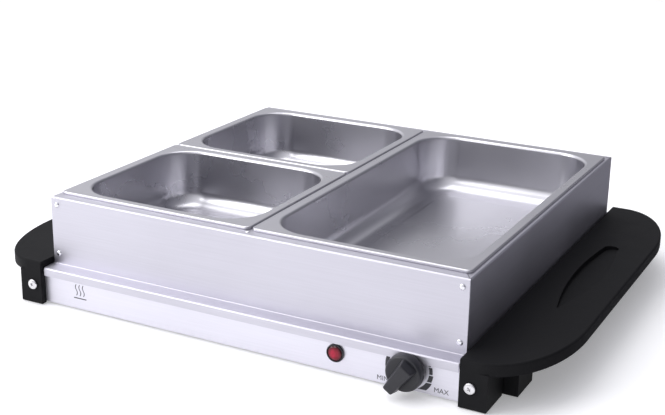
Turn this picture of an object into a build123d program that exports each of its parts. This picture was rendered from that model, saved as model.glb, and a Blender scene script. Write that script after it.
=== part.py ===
from build123d import *
import math
import os

# Electric buffet server: a low warming tray, an open sheet-metal frame that sits on it,
# and three lift-out food pans that hang in the frame. Millimetres, +Z up, -Y is the front.
# Lengths along Y are given from the middle of the tray, which lies TRAY_Y behind the origin,
# so that the dial at the front and the cord gland at the back reach equally far.

os.makedirs("parts", exist_ok=True)

TRAY_Y = 7.4

# Warming tray
TRAY_X = 220.0  # inner edge of each handle
PANEL_Y = 221.5  # face of the front panel
SHELL_X = 238.0  # end walls of the cover, inside the handles
PLATE_TOP = 38.0
SHELL_BOTTOM = 2.5
SHELL_SHEET = 1.0

# Handles
HANDLE_Y = 228.0
HANDLE_X = 295.0
HANDLE_TOP = 45.0
HANDLE_BOTTOM = 1.0
GRIP_THICK = 11.0
CORNER_RX = 60.0  # plan radii of the rounded grip corners
CORNER_RY = 110.0
LEG_X = 245.0
LEG_DEPTH = 38.0
FOOT_X = 258.0
FOOT_FRONT = 187.0
FOOT_BACK = 150.0
HANDLE_SCREW = (230.0, 20.5)  # x and z of the four handle screws

# Controls on the front panel: x and z of each axis
DIAL = (172.0, 22.2)
LAMP = (102.0, 20.5)
DIAL_MIN_DEG = 235.0  # direction of the grip bar at the lowest setting
GLAND = (150.0, 17.0)

# Frame
FRAME_X = 218.0
FRAME_Y = 208.5
FRAME_SHEET = 0.8
FRAME_TOP = 107.7
LIP_Y = 225.0
LIP_BOTTOM = 30.5
OPENING_X = 205.5
OPENING_Y = 189.0
RAIL_HALF = 6.5  # half width of the two divider rails
RAIL_DEPTH = 13.0
HEM = 6.5
RIVET_X = 211.5
RIVET_Z = (49.8, 99.8)

# Pans
PAN_SHEET = 0.8
RIM_GAP = 1.0  # from the middle of a rail to the rim
RIM_X = 214.5
RIM_Y = 197.0
RIM_HEIGHT = 2.8
RIM_WIDTH = 10.0
RIM_CORNER = 5.0
PAN_DEPTH = 62.0
PAN_CORNER = 38.0
PAN_FOOT_RADIUS = 20.0
PAN_DRAFT = 4.0


def write(piece, label):
    """Label a finished piece and write its file."""
    piece.part.label = label
    export_step(piece.part, f"parts/{label}.step")


def block(x0, x1, y0, y1, z0, z1, mode=Mode.ADD):
    """A box between two corners, with Y counted from the middle of the tray."""
    with Locations(((x0 + x1) / 2, TRAY_Y + (y0 + y1) / 2, (z0 + z1) / 2)):
        Box(x1 - x0, y1 - y0, z1 - z0, mode=mode)


def rod_y(x, z, radius, y0, y1, mode=Mode.ADD):
    """A round bar along Y."""
    with Locations((x, TRAY_Y + (y0 + y1) / 2, z)):
        Cylinder(radius, abs(y1 - y0), rotation=(90, 0, 0), mode=mode)


def rod_z(x, y, radius, z0, z1, mode=Mode.ADD):
    """A round bar along Z."""
    with Locations((x, TRAY_Y + y, (z0 + z1) / 2)):
        Cylinder(radius, z1 - z0, mode=mode)


def tube_run(points, radius, bend):
    """A round lead or tube through points in tray coordinates, with rounded bends."""
    route = [(x, TRAY_Y + y, z) for x, y, z in points]
    with BuildLine() as path:
        FilletPolyline(*route, radius=bend)
    with BuildSketch(Plane(origin=path.line @ 0, z_dir=path.line % 0)) as section:
        Circle(radius)
    sweep(section.sketch, path=path.line)


# ---------------------------------------------------------------------------
# Tray cover: one folded sheet, the hot plate on top and the panel on the front
with BuildPart() as top_cover:
    block(-SHELL_X, SHELL_X, -PANEL_Y, PANEL_Y, SHELL_BOTTOM, PLATE_TOP)
    inner_x = SHELL_X - SHELL_SHEET
    inner_y = PANEL_Y - SHELL_SHEET
    block(-inner_x, inner_x, -inner_y, inner_y, 0, PLATE_TOP - SHELL_SHEET, mode=Mode.SUBTRACT)
    for side in (-1, 1):
        for end in (-1, 1):
            hole_x = side * HANDLE_SCREW[0]
            rod_y(hole_x, HANDLE_SCREW[1], 2.3, end * (PANEL_Y - 2), end * (PANEL_Y + 1), Mode.SUBTRACT)
    rod_y(DIAL[0], DIAL[1], 5.1, -PANEL_Y + 2, -PANEL_Y - 1, Mode.SUBTRACT)
    rod_y(LAMP[0], LAMP[1], 6.6, -PANEL_Y + 2, -PANEL_Y - 1, Mode.SUBTRACT)
    rod_y(GLAND[0], GLAND[1], 7.1, PANEL_Y - 2, PANEL_Y + 1, Mode.SUBTRACT)
write(top_cover, "top_cover")

# Bottom cover: a flat sheet with upturned ends and vent slots, let into the tray cover
COVER_SCREWS = [(x, y) for x in (-200, 0, 200) for y in (-206, 206)]
with BuildPart() as bottom_cover:
    base_x = SHELL_X - SHELL_SHEET - 0.3
    base_y = PANEL_Y - SHELL_SHEET - 0.3
    block(-base_x, base_x, -base_y, base_y, SHELL_BOTTOM, SHELL_BOTTOM + SHELL_SHEET)
    for side in (-1, 1):
        flange = sorted((side * base_x, side * (base_x - SHELL_SHEET)))
        block(flange[0], flange[1], -base_y, base_y, SHELL_BOTTOM, SHELL_BOTTOM + 10)
    for x, y in COVER_SCREWS:
        rod_z(x, y, 1.8, 0, SHELL_BOTTOM + 2, Mode.SUBTRACT)
    for row in range(2):
        for slot in range(9):
            x = -112 + slot * 28
            y = -40 + row * 80
            block(x - 2, x + 2, y - 20, y + 20, 0, SHELL_BOTTOM + 2, Mode.SUBTRACT)
write(bottom_cover, "bottom_cover")

# Cover brackets: small angles inside the front and rear walls that take the cover screws
with BuildPart() as cover_brackets:
    for x, y in COVER_SCREWS:
        end = 1 if y > 0 else -1
        wall = sorted((end * (PANEL_Y - SHELL_SHEET), end * (PANEL_Y - SHELL_SHEET - 1.2)))
        foot = sorted((end * (PANEL_Y - SHELL_SHEET), end * 199.0))
        block(x - 7, x + 7, wall[0], wall[1], 3.5, 15)
        block(x - 7, x + 7, foot[0], foot[1], 3.5, 4.7)
        rod_z(x, y, 1.7, 3, 6, Mode.SUBTRACT)
write(cover_brackets, "cover_brackets")

# Cover screws: pan heads under the tray, one for each bracket
with BuildPart() as cover_screws:
    for x, y in COVER_SCREWS:
        rod_z(x, y, 3.0, 1.0, SHELL_BOTTOM)
        rod_z(x, y, 1.6, SHELL_BOTTOM, 8.0)
write(cover_screws, "cover_screws")


# ---------------------------------------------------------------------------
# Handles: one moulding at each end, with a grip, a scooped finger recess, two legs and two feet
def scoop():
    """Leaf-shaped finger recess, deep along its inner edge and shallow along its outer one."""
    with BuildPart() as leaf:
        with BuildSketch(Plane.XY.offset(HANDLE_TOP)):
            with BuildLine():
                ThreePointArc((256, TRAY_Y - 86), (243.5, TRAY_Y + 18), (249, TRAY_Y + 94))
                ThreePointArc((249, TRAY_Y + 94), (255.5, TRAY_Y + 99), (263, TRAY_Y + 88))
                ThreePointArc((263, TRAY_Y + 88), (270, TRAY_Y + 2), (256, TRAY_Y - 86))
            make_face()
        extrude(amount=-8)
    with BuildPart() as wedge:
        with BuildSketch(Plane.XZ.offset(-TRAY_Y - 120)):
            with BuildLine():
                Polyline((238, 38.8), (238, 60), (272, 60), (272, 44.0), close=True)
            make_face()
        extrude(amount=240)
    return leaf.part & wedge.part


with BuildPart() as right_handle:
    with BuildSketch(Plane.XY.offset(HANDLE_TOP - GRIP_THICK)):
        with BuildLine():
            straight = HANDLE_Y - CORNER_RY
            corner_x = HANDLE_X - CORNER_RX
            Line((TRAY_X, TRAY_Y - HANDLE_Y), (corner_x, TRAY_Y - HANDLE_Y))
            EllipticalCenterArc((corner_x, TRAY_Y - straight), CORNER_RX, CORNER_RY, 270, arc_size=90)
            Line((HANDLE_X, TRAY_Y - straight), (HANDLE_X, TRAY_Y + straight))
            EllipticalCenterArc((corner_x, TRAY_Y + straight), CORNER_RX, CORNER_RY, 0, arc_size=90)
            Line((corner_x, TRAY_Y + HANDLE_Y), (TRAY_X, TRAY_Y + HANDLE_Y))
            Line((TRAY_X, TRAY_Y + HANDLE_Y), (TRAY_X, TRAY_Y - HANDLE_Y))
        make_face()
    extrude(amount=GRIP_THICK)
    rim = edges().group_by(Axis.Z)[-1].filter_by(lambda e: e.center().X > TRAY_X + 2)
    fillet(rim, radius=2.0)
    for end in (-1, 1):
        front = sorted((end * HANDLE_Y, end * (HANDLE_Y - LEG_DEPTH)))
        block(TRAY_X, LEG_X, front[0], front[1], HANDLE_BOTTOM, HANDLE_TOP - GRIP_THICK + 1)
        foot = sorted((end * FOOT_FRONT, end * FOOT_BACK))
        block(TRAY_X, FOOT_X, foot[0], foot[1], HANDLE_BOTTOM, HANDLE_TOP - GRIP_THICK + 1)
        rod_z(251, end * 168.5, 6.1, 0, HANDLE_BOTTOM + 1.5, Mode.SUBTRACT)
        face = sorted((end * (HANDLE_Y + 1), end * (PANEL_Y - 1)))
        rod_y(HANDLE_SCREW[0], HANDLE_SCREW[1], 2.3, face[0], face[1], Mode.SUBTRACT)
    # room for the end of the tray cover, which the moulding caps
    block(0, SHELL_X + 0.2, -PANEL_Y - 0.2, PANEL_Y + 0.2, 0, PLATE_TOP + 0.2, Mode.SUBTRACT)
    add(scoop(), mode=Mode.SUBTRACT)
write(right_handle, "right_handle")

with BuildPart() as left_handle:
    add(mirror(right_handle.part, about=Plane.YZ, mode=Mode.PRIVATE))
write(left_handle, "left_handle")

# Rubber feet: pads let into the underside of the four foot blocks
with BuildPart() as rubber_feet:
    for side in (-1, 1):
        for end in (-1, 1):
            rod_z(side * 251, end * 168.5, 6.0, 0, HANDLE_BOTTOM + 1.5)
write(rubber_feet, "rubber_feet")

# Handle screws: pan heads on the legs, front and rear
with BuildPart() as handle_screws:
    for side in (-1, 1):
        for end in (-1, 1):
            head = sorted((end * HANDLE_Y, end * (HANDLE_Y + 2.6)))
            shank = sorted((end * HANDLE_Y, end * (PANEL_Y - 7)))
            rod_y(side * HANDLE_SCREW[0], HANDLE_SCREW[1], 5.2, head[0], head[1])
            rod_y(side * HANDLE_SCREW[0], HANDLE_SCREW[1], 2.0, shank[0], shank[1])
write(handle_screws, "handle_screws")

# Handle nuts: square nuts behind the cover that the handle screws pull against
with BuildPart() as handle_nuts:
    for side in (-1, 1):
        for end in (-1, 1):
            x = side * HANDLE_SCREW[0]
            z = HANDLE_SCREW[1]
            nut = sorted((end * (PANEL_Y - SHELL_SHEET), end * (PANEL_Y - SHELL_SHEET - 3)))
            block(x - 4, x + 4, nut[0], nut[1], z - 4, z + 4)
            rod_y(x, z, 2.05, nut[0] - 1, nut[1] + 1, Mode.SUBTRACT)
write(handle_nuts, "handle_nuts")

# ---------------------------------------------------------------------------
# Heater: an aluminium plate under the hot plate, with a tubular element clamped to it
SPREADER_TOP = PLATE_TOP - SHELL_SHEET
SPREADER_BOTTOM = SPREADER_TOP - 1.5
ELEMENT_RADIUS = 3.3
ELEMENT_Z = SPREADER_BOTTOM - ELEMENT_RADIUS - 0.1
ELEMENT_ENDS = (60.0, 132.0)
ELEMENT_END_Y = -172.0
CLAMPS = [(132, 30), (-150, 30), (60, -40), (-60, -40)]
STUDS = [(x, y) for x in (-166, 166) for y in (-152, 152)]

with BuildPart() as heat_spreader:
    block(-175, 175, -162, 162, SPREADER_BOTTOM, SPREADER_TOP)
    for x, y in CLAMPS:
        for ear in (-9, 9):
            rod_z(x + ear, y, 1.6, SPREADER_BOTTOM - 1, SPREADER_TOP + 1, Mode.SUBTRACT)
write(heat_spreader, "heat_spreader")

with BuildPart() as heating_element:
    run = [
        (ELEMENT_ENDS[1], ELEMENT_END_Y, ELEMENT_Z),
        (ELEMENT_ENDS[1], 140, ELEMENT_Z),
        (-150, 140, ELEMENT_Z),
        (-150, -140, ELEMENT_Z),
        (-60, -140, ELEMENT_Z),
        (-60, 70, ELEMENT_Z),
        (ELEMENT_ENDS[0], 70, ELEMENT_Z),
        (ELEMENT_ENDS[0], ELEMENT_END_Y, ELEMENT_Z),
    ]
    tube_run(run, ELEMENT_RADIUS, 25)
write(heating_element, "heating_element")

with BuildPart() as element_terminals:
    for x in ELEMENT_ENDS:
        rod_y(x, ELEMENT_Z, 2.4, ELEMENT_END_Y - 4, ELEMENT_END_Y)
        block(x - 2.5, x + 2.5, ELEMENT_END_Y - 14, ELEMENT_END_Y - 4, ELEMENT_Z - 0.5, ELEMENT_Z + 0.5)
write(element_terminals, "element_terminals")

with BuildPart() as element_clamps:
    for x, y in CLAMPS:
        block(x - 12, x + 12, y - 5, y + 5, SPREADER_BOTTOM - 1, SPREADER_BOTTOM)
        block(x - 5, x + 5, y - 5, y + 5, ELEMENT_Z - 4.6, SPREADER_BOTTOM)
        block(x - 3.6, x + 3.6, y - 6, y + 6, ELEMENT_Z - 3.6, SPREADER_BOTTOM + 1, Mode.SUBTRACT)
        for ear in (-9, 9):
            rod_z(x + ear, y, 1.6, SPREADER_BOTTOM - 2, SPREADER_BOTTOM + 1, Mode.SUBTRACT)
write(element_clamps, "element_clamps")

with BuildPart() as clamp_screws:
    for x, y in CLAMPS:
        for ear in (-9, 9):
            rod_z(x + ear, y, 1.5, SPREADER_BOTTOM - 1, SPREADER_TOP - 0.1)
            rod_z(x + ear, y, 2.8, SPREADER_BOTTOM - 2.8, SPREADER_BOTTOM - 1)
write(clamp_screws, "clamp_screws")

# Reflector: a bright sheet under the element, carried on four studs, with a mineral board on it
REFLECTOR_TOP = 24.0
with BuildPart() as heater_studs:
    for x, y in STUDS:
        rod_z(x, y, 3.0, REFLECTOR_TOP, SPREADER_BOTTOM)
        rod_z(x, y, 1.5, REFLECTOR_TOP - 5, REFLECTOR_TOP)
write(heater_studs, "heater_studs")

with BuildPart() as reflector_plate:
    block(-175, 175, -162, 162, REFLECTOR_TOP - 0.6, REFLECTOR_TOP)
    for x, y in STUDS:
        rod_z(x, y, 1.7, REFLECTOR_TOP - 2, REFLECTOR_TOP + 1, Mode.SUBTRACT)
write(reflector_plate, "reflector_plate")

with BuildPart() as insulation_board:
    block(-160, 160, -158, 146, REFLECTOR_TOP, REFLECTOR_TOP + 2.2)
write(insulation_board, "insulation_board")

with BuildPart() as heater_nuts:
    for x, y in STUDS:
        with BuildSketch(Plane.XY.offset(REFLECTOR_TOP - 3.2)):
            with Locations((x, TRAY_Y + y)):
                RegularPolygon(3.2, 6)
                Circle(1.55, mode=Mode.SUBTRACT)
        extrude(amount=2.6)
write(heater_nuts, "heater_nuts")

# Thermal fuse: clipped to the aluminium plate in the middle of the element
FUSE = (0.0, -20.0)
FUSE_Z = SPREADER_BOTTOM - 2.7
with BuildPart() as thermal_fuse:
    rod_y(FUSE[0], FUSE_Z, 2.4, FUSE[1] - 6, FUSE[1] + 6)
    rod_y(FUSE[0], FUSE_Z, 0.6, FUSE[1] - 16, FUSE[1] + 16)
write(thermal_fuse, "thermal_fuse")

with BuildPart() as fuse_clip:
    x, y = FUSE
    block(x - 9, x + 9, y - 4, y + 4, SPREADER_BOTTOM - 0.8, SPREADER_BOTTOM)
    block(x - 3.5, x + 3.5, y - 4, y + 4, FUSE_Z - 3.4, SPREADER_BOTTOM)
    block(x - 2.6, x + 2.6, y - 5, y + 5, FUSE_Z - 2.6, SPREADER_BOTTOM + 1, Mode.SUBTRACT)
write(fuse_clip, "fuse_clip")

# ---------------------------------------------------------------------------
# Thermostat: ceramic body with a threaded neck through the panel, held by a thin nut
BODY_FRONT = -PANEL_Y + SHELL_SHEET
with BuildPart() as thermostat_body:
    x, z = DIAL
    block(x - 14, x + 14, BODY_FRONT + 1.2, BODY_FRONT + 17, z - 13, z + 13)
    fillet(edges().filter_by(Axis.Y), radius=3)
    rod_y(x, z, 8.0, BODY_FRONT, BODY_FRONT + 1.2)
    rod_y(x, z, 5.0, -PANEL_Y - 2.6, BODY_FRONT + 1)
    rod_y(x, z, 3.05, -PANEL_Y - 3, BODY_FRONT + 13, Mode.SUBTRACT)
write(thermostat_body, "thermostat_body")

with BuildPart() as thermostat_nut:
    with BuildSketch(Plane.XZ.offset(PANEL_Y - TRAY_Y)):
        with Locations(DIAL):
            RegularPolygon(7.5, 6)
            Circle(5.05, mode=Mode.SUBTRACT)
    extrude(amount=2.2)
write(thermostat_nut, "thermostat_nut")

TAB_Y = BODY_FRONT + 17
with BuildPart() as thermostat_tabs:
    for side in (-1, 1):
        x = DIAL[0] + side * 8
        block(x - 3.1, x + 3.1, TAB_Y, TAB_Y + 9, DIAL[1] - 0.4, DIAL[1] + 0.4)
write(thermostat_tabs, "thermostat_tabs")

# Dial: skirted knob with a tapering grip bar, on the thermostat's spindle
KNOB_BACK = -PANEL_Y - 4.9
KNOB_FRONT = KNOB_BACK - 9.5
KNOB_RADIUS = 16.8
GRIP_HEIGHT = 9.5
with BuildPart() as control_knob:
    x, z = DIAL
    rod_y(x, z, KNOB_RADIUS, KNOB_FRONT, KNOB_BACK)
    skirt_rim = edges().filter_by(GeomType.CIRCLE).group_by(Axis.Y)[0]
    chamfer(skirt_rim, 1.5)
    pointer = math.radians(DIAL_MIN_DEG)
    along = (math.cos(pointer), 0, math.sin(pointer))
    with BuildSketch(Plane(origin=(x, TRAY_Y + KNOB_FRONT, z), x_dir=along, z_dir=(0, -1, 0))):
        with BuildLine():
            Polyline((-13.0, -8.4), (18.6, -6.0), (18.6, 6.0), (-13.0, 8.4), close=True)
        make_face()
    extrude(amount=GRIP_HEIGHT, taper=9)
    rod_y(x, z, 3.05, KNOB_BACK - 11.8, KNOB_BACK + 1, Mode.SUBTRACT)
write(control_knob, "control_knob")

with BuildPart() as thermostat_spindle:
    rod_y(DIAL[0], DIAL[1], 3.0, KNOB_BACK - 11.5, BODY_FRONT + 12)
write(thermostat_spindle, "thermostat_spindle")

# Pilot lamp: a red faceted lens in a black bezel, with its neon bulb and a push-on clip behind
LENS_RADIUS = 7.3
with BuildPart() as lamp_bezel:
    x, z = LAMP
    rod_y(x, z, 8.4, -PANEL_Y - 2.2, -PANEL_Y)
    bezel_rim = edges().filter_by(GeomType.CIRCLE).group_by(Axis.Y)[0]
    chamfer(bezel_rim, 0.8)
    rod_y(x, z, 6.5, -PANEL_Y, -PANEL_Y + 14)
    rod_y(x, z, 5.4, -PANEL_Y - 3, -PANEL_Y + 12.5, Mode.SUBTRACT)
    rod_y(x, z, LENS_RADIUS + 0.1, -PANEL_Y - 3, -PANEL_Y - 0.9, Mode.SUBTRACT)
    for side in (-1, 1):
        rod_y(x + side * 3, z, 0.9, -PANEL_Y + 12, -PANEL_Y + 15, Mode.SUBTRACT)
write(lamp_bezel, "lamp_bezel")

with BuildPart() as lamp_lens:
    rod_y(LAMP[0], LAMP[1], LENS_RADIUS, -PANEL_Y - 3.4, -PANEL_Y - 0.9)
    lens_rim = edges().filter_by(GeomType.CIRCLE).group_by(Axis.Y)[0]
    chamfer(lens_rim, 1.4)
write(lamp_lens, "lamp_lens")

with BuildPart() as lamp_bulb:
    rod_y(LAMP[0], LAMP[1], 2.8, -PANEL_Y + 1, -PANEL_Y + 11)
    bulb_nose = edges().filter_by(GeomType.CIRCLE).group_by(Axis.Y)[0]
    fillet(bulb_nose, radius=2.4)
write(lamp_bulb, "lamp_bulb")

with BuildPart() as lamp_clip:
    rod_y(LAMP[0], LAMP[1], 9.5, BODY_FRONT, BODY_FRONT + 0.8)
    rod_y(LAMP[0], LAMP[1], 6.55, BODY_FRONT - 1, BODY_FRONT + 2, Mode.SUBTRACT)
write(lamp_clip, "lamp_clip")

# ---------------------------------------------------------------------------
# Supply: cord gland in the rear wall, terminal block on the floor, earth screw beside it
REAR_INSIDE = PANEL_Y - SHELL_SHEET
with BuildPart() as cord_gland:
    x, z = GLAND
    rod_y(x, z, 9.0, PANEL_Y, PANEL_Y + 8)
    gland_rim = edges().filter_by(GeomType.CIRCLE).group_by(Axis.Y)[-1]
    fillet(gland_rim, radius=2)
    rod_y(x, z, 7.0, REAR_INSIDE - 6, PANEL_Y)
    rod_y(x, z, 3.8, REAR_INSIDE - 7, PANEL_Y + 9, Mode.SUBTRACT)
write(cord_gland, "cord_gland")

with BuildPart() as gland_nut:
    with BuildSketch(Plane.XZ.offset(-REAR_INSIDE - TRAY_Y)):
        with Locations(GLAND):
            RegularPolygon(10, 6)
            Circle(7.05, mode=Mode.SUBTRACT)
    extrude(amount=4)
write(gland_nut, "gland_nut")

BLOCK_X = (165.0, 201.0)
BLOCK_Y = (172.0, 190.0)
PORTS = (171.0, 183.0, 195.0)
with BuildPart() as terminal_block:
    block(BLOCK_X[0], BLOCK_X[1], BLOCK_Y[0], BLOCK_Y[1], 3.5, 18)
    for x in PORTS:
        rod_y(x, 9, 2.2, BLOCK_Y[0] - 1, BLOCK_Y[1] + 1, Mode.SUBTRACT)
        rod_z(x, 181, 2.2, 9, 19, Mode.SUBTRACT)
write(terminal_block, "terminal_block")

with BuildPart() as terminal_screws:
    for x in PORTS:
        rod_z(x, 181, 2.0, 11.6, 17.5)
write(terminal_screws, "terminal_screws")

EARTH = (190.0, 25.0)  # x and z of the earth screw in the rear wall
with BuildPart() as earth_screw:
    rod_y(EARTH[0], EARTH[1], 2.0, REAR_INSIDE - 7, REAR_INSIDE)
    rod_y(EARTH[0], EARTH[1], 3.8, REAR_INSIDE - 9, REAR_INSIDE - 6)
write(earth_screw, "earth_screw")

# Internal leads: heat-proof wires with wide bends, lying beside and under the reflector
LEAD_RADIUS = 1.3
with BuildPart() as live_lead:
    run = [(195, 171.5, 9), (195, 150, 9), (206, 110, 9), (206, -150, 12)]
    run += [(DIAL[0] + 20, -178, DIAL[1]), (DIAL[0] + 8, -178, DIAL[1]), (DIAL[0] + 8, TAB_Y + 9.2, DIAL[1])]
    tube_run(run, LEAD_RADIUS, 6)
write(live_lead, "live_lead")

with BuildPart() as neutral_lead:
    run = [(183, 171.5, 9), (183, 148, 9), (60, 120, 9), (60, -150, 9), (60, -176, 14), (60, -176, 27)]
    tube_run(run, LEAD_RADIUS, 6)
write(neutral_lead, "neutral_lead")

with BuildPart() as switched_lead:
    run = [(DIAL[0] - 8, TAB_Y + 9.2, DIAL[1]), (DIAL[0] - 8, -182, DIAL[1]), (148, -176, DIAL[1])]
    run += [(132, -176, DIAL[1]), (132, -176, 28)]
    tube_run(run, LEAD_RADIUS, 2.5)
write(switched_lead, "switched_lead")

with BuildPart() as lamp_leads:
    for side, target in ((-1, 78.0), (1, 118.0)):
        x = LAMP[0] + side * 3
        run = [(x, -PANEL_Y + 11.2, LAMP[1]), (x, -198, LAMP[1]), (target, -186, LAMP[1]), (target, -176, 12)]
        tube_run(run, 0.7, 3)
write(lamp_leads, "lamp_leads")


# ---------------------------------------------------------------------------
# Frame: front and rear pressings with a reflecting ledge and lip, and two side pressings
def frame_end():
    """Front pressing: lip, ledge, wall, and a mitred top flange with a hem."""
    sheet = FRAME_SHEET
    block(-FRAME_X, FRAME_X, -FRAME_Y, -FRAME_Y + sheet, PLATE_TOP, FRAME_TOP)
    block(-FRAME_X, FRAME_X, -LIP_Y, -FRAME_Y + sheet, PLATE_TOP, PLATE_TOP + sheet)
    block(-FRAME_X, FRAME_X, -LIP_Y, -LIP_Y + sheet, LIP_BOTTOM, PLATE_TOP + sheet)
    with BuildSketch(Plane.XY.offset(FRAME_TOP - sheet)) as flange:
        with BuildLine():
            outer = TRAY_Y - FRAME_Y
            inner = TRAY_Y - OPENING_Y
            half = [(OPENING_X, inner), (FRAME_X - 1, outer + sheet), (FRAME_X, outer + sheet)]
            half.append((FRAME_X, outer))
            Polyline(*half, *[(-x, y) for x, y in reversed(half)], close=True)
        make_face()
    extrude(flange.sketch, amount=sheet)
    for side in (-1, 1):
        span = sorted((side * (RAIL_HALF + 1), side * (OPENING_X - 1)))
        block(span[0], span[1], -OPENING_Y - sheet, -OPENING_Y, FRAME_TOP - HEM, FRAME_TOP)
        for z in RIVET_Z:
            rod_y(side * RIVET_X, z, 1.7, -FRAME_Y - 1, -FRAME_Y + 2, Mode.SUBTRACT)
    rod_z(0, -200.5, 1.6, FRAME_TOP - 2, FRAME_TOP + 1, Mode.SUBTRACT)


with BuildPart() as frame_front:
    frame_end()
write(frame_front, "frame_front")

with BuildPart() as frame_rear:
    add(mirror(frame_front.part, about=Plane.XZ.offset(-TRAY_Y), mode=Mode.PRIVATE))
write(frame_rear, "frame_rear")


def frame_side(side, hem_gap):
    """Side pressing: wall, foot return, mitred top flange, hem and the two riveted tabs."""
    sheet = FRAME_SHEET
    end = FRAME_Y - sheet - 0.1
    wall = sorted((side * FRAME_X, side * (FRAME_X - sheet)))
    tab = sorted((side * (FRAME_X - sheet), side * 198))
    foot = sorted((side * FRAME_X, side * 208))
    hem = sorted((side * OPENING_X, side * (OPENING_X + sheet)))
    block(wall[0], wall[1], -end, end, PLATE_TOP, FRAME_TOP)
    block(foot[0], foot[1], -end + 1, end - 1, PLATE_TOP, PLATE_TOP + sheet)
    with BuildSketch(Plane.XY.offset(FRAME_TOP - sheet)) as flange:
        with BuildLine():
            half = [(side * OPENING_X, 188.7), (side * (FRAME_X - sheet), end), (side * FRAME_X, end)]
            back = [(x, TRAY_Y + y) for x, y in half]
            front = [(x, TRAY_Y - y) for x, y in reversed(half)]
            Polyline(*back, *front, close=True)
        make_face()
    extrude(flange.sketch, amount=sheet)
    for y in (-1, 1):
        lap = sorted((y * end, y * (end - sheet)))
        block(tab[0], tab[1], lap[0], lap[1], 44, 104)
        run = sorted((y * hem_gap, y * 187))
        block(hem[0], hem[1], run[0], run[1], FRAME_TOP - HEM, FRAME_TOP)
        for z in RIVET_Z:
            hole = sorted((y * (end + 1), y * (end - 2)))
            rod_y(side * RIVET_X, z, 1.7, hole[0], hole[1], Mode.SUBTRACT)


with BuildPart() as frame_left:
    frame_side(-1, RAIL_HALF + 1)
write(frame_left, "frame_left")

with BuildPart() as frame_right:
    frame_side(1, 0)
write(frame_right, "frame_right")


# Centre rail: inverted channel from front to back, its ends riveted under the top flanges
with BuildPart() as centre_rail:
    end = OPENING_Y - 0.2
    block(-RAIL_HALF, RAIL_HALF, -end, end, FRAME_TOP - FRAME_SHEET, FRAME_TOP)
    for side in (-1, 1):
        leg = sorted((side * RAIL_HALF, side * (RAIL_HALF - FRAME_SHEET)))
        block(leg[0], leg[1], -end, end, FRAME_TOP - RAIL_DEPTH, FRAME_TOP)
        lug = sorted((side * 204, side * 180))
        block(-5, 5, lug[0], lug[1], FRAME_TOP - 2 * FRAME_SHEET, FRAME_TOP - FRAME_SHEET)
        rod_z(0, side * 200.5, 1.6, FRAME_TOP - 3, FRAME_TOP + 1, Mode.SUBTRACT)
write(centre_rail, "centre_rail")

# Cross rail: the same channel across the left bay, spot-welded to the side and the centre rail
with BuildPart() as cross_rail:
    left = -OPENING_X + 0.2
    right = -RAIL_HALF - 0.1
    block(left, right, -RAIL_HALF, RAIL_HALF, FRAME_TOP - FRAME_SHEET, FRAME_TOP)
    for side in (-1, 1):
        leg = sorted((side * RAIL_HALF, side * (RAIL_HALF - FRAME_SHEET)))
        block(left, right, leg[0], leg[1], FRAME_TOP - RAIL_DEPTH, FRAME_TOP)
    block(right - FRAME_SHEET, right, -RAIL_HALF, RAIL_HALF, FRAME_TOP - RAIL_DEPTH, FRAME_TOP)
    block(-214, -195, -5, 5, FRAME_TOP - 2 * FRAME_SHEET, FRAME_TOP - FRAME_SHEET)
write(cross_rail, "cross_rail")

# Corner rivets: domed heads outside the front and rear walls
with BuildPart() as corner_rivets:
    for side in (-1, 1):
        for end in (-1, 1):
            for z in RIVET_Z:
                x = side * RIVET_X
                face = end * FRAME_Y
                head = sorted((face, face + end * 1.5))
                shank = sorted((face, face - end * 2.9))
                rod_y(x, z, 2.9, head[0], head[1])
                rod_y(x, z, 1.6, shank[0], shank[1])
    for end in (0, -1):
        domes = edges().filter_by(GeomType.CIRCLE).group_by(Axis.Y)[end]
        fillet(domes, radius=1.2)
write(corner_rivets, "corner_rivets")

# Rail rivets: flat heads that fix the centre rail to the front and rear flanges
with BuildPart() as rail_rivets:
    for end in (-1, 1):
        rod_z(0, end * 200.5, 2.4, FRAME_TOP, FRAME_TOP + 0.8)
        rod_z(0, end * 200.5, 1.5, FRAME_TOP - 2.2, FRAME_TOP)
write(rail_rivets, "rail_rivets")


# ---------------------------------------------------------------------------
# Pans: deep-drawn steel, with a flat rim, a turned-down edge and drafted walls
def tub(centre, width, length, corner, depth, foot_radius):
    """Solid with the shape of a pan's body: drafted walls and a rounded foot."""
    with BuildPart() as body:
        with BuildSketch(Plane.XY.offset(FRAME_TOP + RIM_HEIGHT)):
            with Locations(centre):
                RectangleRounded(width, length, corner)
        extrude(amount=-depth, taper=PAN_DRAFT)
        fillet(faces().sort_by(Axis.Z)[0].edges(), radius=foot_radius)
    return body.part


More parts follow.
